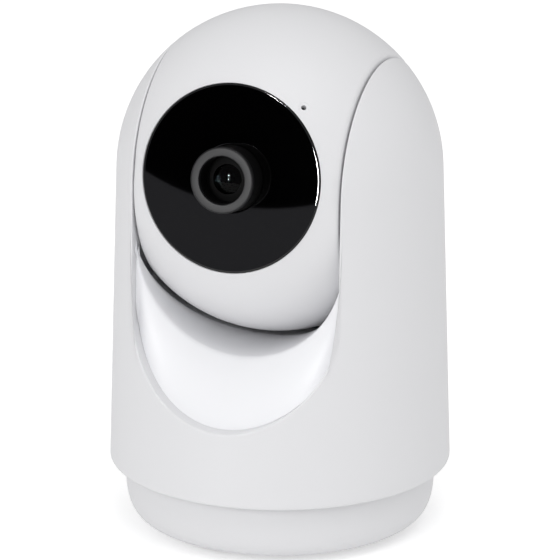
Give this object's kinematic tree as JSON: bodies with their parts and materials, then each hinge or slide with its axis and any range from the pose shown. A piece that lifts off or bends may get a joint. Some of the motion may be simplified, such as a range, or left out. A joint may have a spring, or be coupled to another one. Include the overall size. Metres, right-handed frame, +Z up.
{
  "type": "pan and tilt camera",
  "caption": "Small white home camera: a ball head with a round black face and lens tilts between the arms of a domed body, which turns on a low rounded base with a gear drive inside.",
  "frame": {"origin": "centre of the base's footprint, at the undersides of the feet, on the pan axis", "axes": "+Z up along the pan axis, -Y out of the lens when the body faces forward, +X to the object's left arm as it looks out"},
  "size_m": [0.077, 0.077, 0.119],
  "materials": {
    "white_shell": "satin moulded, very fine texture",
    "panel_white": "satin moulded",
    "dark_frame": "matte moulded",
    "face_black": "polished",
    "ring_black": "fine matte",
    "barrel_black": "matte",
    "lens_glass": "polished",
    "filter_glass": "coated",
    "foot_rubber": "matte",
    "boot_rubber": "matte",
    "steel": "zinc plated",
    "brass": "machined",
    "plate_steel": "painted",
    "motor_can": "plated",
    "bearing_plastic": "moulded acetal",
    "gear_plastic": "moulded acetal",
    "board_green": "solder mask",
    "chip_black": "moulded",
    "socket_metal": "stamped",
    "cone_paper": "pressed",
    "foam_black": "foam",
    "led_clear": "moulded",
    "antenna_amber": "film"
  },
  "bodies": {
    "base": {"base_bowl": "white_shell", "base_deck": "white_shell", "rubber_feet": "foot_rubber", "base_screws": "steel", "tripod_insert": "brass", "ballast_plate": "plate_steel", "power_board": "board_green", "power_socket": "socket_metal", "pan_gear": "gear_plastic", "pan_gear_screws": "steel", "pan_bush": "bearing_plastic"},
    "turret": {"housing": "white_shell", "cradle": "panel_white", "chassis": "dark_frame", "housing_screws": "steel", "cradle_screws": "steel", "pan_motor": "motor_can", "pan_motor_screws": "steel", "pan_retainer": "dark_frame", "retainer_screws": "steel", "speaker": "cone_paper", "speaker_gasket": "foam_black", "speaker_grille": "dark_frame", "tilt_pivot_right": "dark_frame", "tilt_pivot_left": "dark_frame", "pivot_screws": "steel", "tilt_gear": "gear_plastic", "tilt_gear_screws": "steel"},
    "pan_pinion": {"pan_pinion": "brass"},
    "head": {"head_front_shell": "white_shell", "head_rear_shell": "white_shell", "head_screws": "steel", "face_plate": "face_black", "lens_ring": "ring_black", "lens_barrel": "barrel_black", "front_lens": "lens_glass", "inner_lenses": "lens_glass", "infrared_filter": "filter_glass", "lens_holder": "dark_frame", "image_sensor": "chip_black", "main_board": "board_green", "board_screws": "steel", "infrared_board": "board_green", "infrared_leds": "led_clear", "light_sensor": "led_clear", "status_led": "led_clear", "microphone": "socket_metal", "microphone_boot": "boot_rubber", "card_board": "board_green", "card_socket": "socket_metal", "reset_switch": "chip_black", "wifi_antenna": "antenna_amber", "tilt_bushes": "bearing_plastic", "tilt_motor": "motor_can", "tilt_motor_screws": "steel"},
    "tilt_pinion": {"tilt_pinion": "brass"},
    "reset_button": {"reset_button": "dark_frame"}
  },
  "joints": [
    {"name": "pan", "type": "hinge", "parent": "base", "child": "turret", "pos_m": [0, 0, 0.016], "axis": [0, 0, 1], "range_deg": [-187, 161]},
    {"name": "tilt", "type": "hinge", "parent": "turret", "child": "head", "pos_m": [0, 0, 0.0825], "axis": [-1, 0, 0], "range_deg": [-40, 74]},
    {"name": "pan_pinion_spin", "type": "hinge", "parent": "turret", "child": "pan_pinion", "pos_m": [0, -0.0217, 0.017], "axis": [0, 0, 1], "range_deg": [-940, 940]},
    {"name": "tilt_pinion_spin", "type": "hinge", "parent": "head", "child": "tilt_pinion", "pos_m": [0.019, 0.01542, 0.07956], "axis": [-1, 0, 0], "range_deg": [-135, 250]},
    {"name": "reset_press", "type": "slide", "parent": "head", "child": "reset_button", "axis": [0, 0.1874, 0.9823], "range_m": [0, 0.0007], "stiffness_N_per_m": 300, "springref_m": -0.001}
  ],
  "couplings": [
    {"joint": "pan_pinion_spin", "follows": "pan", "ratio": 5},
    {"joint": "tilt_pinion_spin", "follows": "tilt", "ratio": 3.3333}
  ]
}
